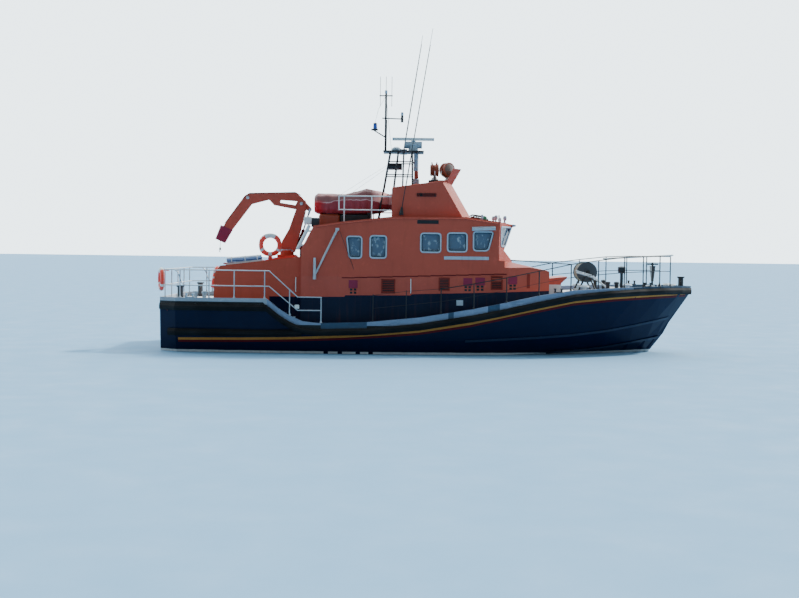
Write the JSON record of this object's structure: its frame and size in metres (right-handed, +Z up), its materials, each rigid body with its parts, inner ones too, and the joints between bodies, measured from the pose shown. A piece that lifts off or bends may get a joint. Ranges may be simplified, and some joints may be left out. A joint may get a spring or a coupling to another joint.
{
  "type": "all-weather offshore lifeboat",
  "caption": "Keeled motor lifeboat with a hollow wheelhouse, upper steering position, stores crane, covered inflatable, lattice mast, tunnel propellers and twin rudders.",
  "frame": {"origin": "amidships on the centreline at the waterline", "axes": "+X to the bow, +Y to port, +Z up"},
  "size_m": [17.4649, 5.82, 12.081],
  "materials": {
    "hull_paint": "gloss marine paint, salt marked",
    "house_paint": "satin orange marine paint",
    "band_paint": "satin light grey paint, scuffed",
    "deck_paint": "non-slip deck paint",
    "white_paint": "gloss white paint",
    "rubber": "matt black rubber",
    "glass": "tinted safety glass",
    "dark_trim": "dark moulded trim",
    "dark_metal": "black painted steel",
    "rail_metal": "brushed grey alloy",
    "bronze": "cast bronze, dulled",
    "lamp_paint": "brownish orange paint",
    "cover_fabric": "coated red cover cloth",
    "buoy_plastic": "orange buoy plastic with white bands"
  },
  "bodies": {
    "hull": {"hull": "hull_paint", "deck": "deck_paint", "gunwale": "band_paint", "fender_port": "rubber", "fender_starboard": "rubber", "keel": "hull_paint", "shaft_bracket_port": "bronze", "shaft_bracket_starboard": "bronze", "deckhouse": "house_paint", "wheelhouse_roof": "house_paint", "wheelhouse_floor": "dark_trim", "side_glazing_port": "glass", "side_glazing_starboard": "glass", "windscreen": "glass", "helm_console": "dark_trim", "crew_seats": "dark_trim", "upper_steering_house": "house_paint", "upper_helm": "dark_trim", "spray_deflector": "house_paint", "searchlight_starboard": "lamp_paint", "searchlight_port": "lamp_paint", "aft_casing": "house_paint", "foredeck_locker": "house_paint", "inflatable_boat": "cover_fabric", "inflatable_cradle": "dark_metal", "roof_rail_port": "white_paint", "roof_rail_starboard": "white_paint", "mast_frame": "dark_metal", "radar_motor": "band_paint", "whip_antenna_port": "dark_metal", "whip_antenna_starboard": "dark_metal", "stern_rail_port": "rail_metal", "stern_rail_starboard": "rail_metal", "bow_rail_port": "dark_metal", "bow_rail_starboard": "dark_metal", "reel_frame": "dark_metal", "anchor": "dark_metal", "bollard_bow": "dark_metal", "bollard_quarter_port": "dark_metal", "bollard_quarter_starboard": "dark_metal", "lifebuoy_casing": "buoy_plastic", "lifebuoy_stern": "buoy_plastic", "horseshoe_buoy": "buoy_plastic", "rolled_net": "rail_metal", "recovery_pole": "rail_metal", "transom_ladder": "rail_metal"},
    "propeller_port": {"propeller_port": "bronze"},
    "propeller_starboard": {"propeller_starboard": "bronze"},
    "rudder_port": {"rudder_port": "bronze"},
    "rudder_starboard": {"rudder_starboard": "bronze"},
    "roof_hatch": {"roof_hatch": "dark_trim"},
    "cabin_door": {"cabin_door": "house_paint"},
    "foredeck_hatch": {"foredeck_hatch": "white_paint"},
    "radar_scanner": {"radar_scanner": "white_paint"},
    "crane_column": {"crane_column": "house_paint"},
    "crane_boom": {"crane_boom": "house_paint"},
    "crane_ram_barrel": {"crane_ram_barrel": "rail_metal"},
    "crane_ram_rod": {"crane_ram_rod": "rail_metal"},
    "reel_drum": {"reel_drum": "dark_metal"}
  },
  "joints": [
    {"name": "propeller_port_spin", "type": "hinge", "parent": "hull", "child": "propeller_port", "pos_m": [-7.2, 1.1, -0.95], "axis": [0.9911, 0, 0.1334], "continuous": true},
    {"name": "propeller_starboard_spin", "type": "hinge", "parent": "hull", "child": "propeller_starboard", "pos_m": [-7.2, -1.1, -0.95], "axis": [0.9911, 0, 0.1334], "continuous": true},
    {"name": "rudder_port_steer", "type": "hinge", "parent": "hull", "child": "rudder_port", "pos_m": [-7.96, 1.1, -0.9], "axis": [0, 0, 1], "range_deg": [-35, 35]},
    {"name": "rudder_starboard_steer", "type": "hinge", "parent": "hull", "child": "rudder_starboard", "pos_m": [-7.96, -1.1, -0.9], "axis": [0, 0, 1], "range_deg": [-35, 35]},
    {"name": "cabin_door_swing", "type": "hinge", "parent": "hull", "child": "cabin_door", "pos_m": [-4.212, 1.607, 2.46], "axis": [0, 0, 1], "range_deg": [-100, 0]},
    {"name": "roof_hatch_lift", "type": "hinge", "parent": "hull", "child": "roof_hatch", "pos_m": [1.28, 0, 4.36], "axis": [0, 1, 0], "range_deg": [-100, 0]},
    {"name": "foredeck_hatch_lift", "type": "hinge", "parent": "hull", "child": "foredeck_hatch", "pos_m": [6.455, 0, 2.09], "axis": [0, 1, 0], "range_deg": [0, 100]},
    {"name": "radar_scanner_spin", "type": "hinge", "parent": "hull", "child": "radar_scanner", "pos_m": [-0.68, 0, 6.93], "axis": [0, 0, 1], "continuous": true},
    {"name": "towing_reel_spin", "type": "hinge", "parent": "hull", "child": "reel_drum", "pos_m": [5.09, 0, 2.61], "axis": [0, 1, 0], "continuous": true},
    {"name": "crane_slew", "type": "hinge", "parent": "hull", "child": "crane_column", "pos_m": [-4.83, 0, 3.14], "axis": [0, 0, 1], "range_deg": [-95, 95]},
    {"name": "crane_luff", "type": "hinge", "parent": "crane_column", "child": "crane_boom", "pos_m": [-4.35, 0, 4.75], "axis": [0, 1, 0], "range_deg": [0, 40]},
    {"name": "crane_ram_swing", "type": "hinge", "parent": "crane_column", "child": "crane_ram_barrel", "pos_m": [-4.47, 0, 3.3], "axis": [0, 1, 0], "range_deg": [-12, 1]},
    {"name": "crane_ram_slide", "type": "slide", "parent": "crane_ram_barrel", "child": "crane_ram_rod", "axis": [0.2957, 0, 0.9553], "range_m": [-0.2, 0.005]}
  ],
  "couplings": [
    {"joint": "rudder_starboard_steer", "follows": "rudder_port_steer", "ratio": 1},
    {"joint": "crane_ram_swing", "follows": "crane_luff", "ratio": -0.158},
    {"joint": "crane_ram_slide", "follows": "crane_luff", "m_per_rad": -0.26}
  ]
}
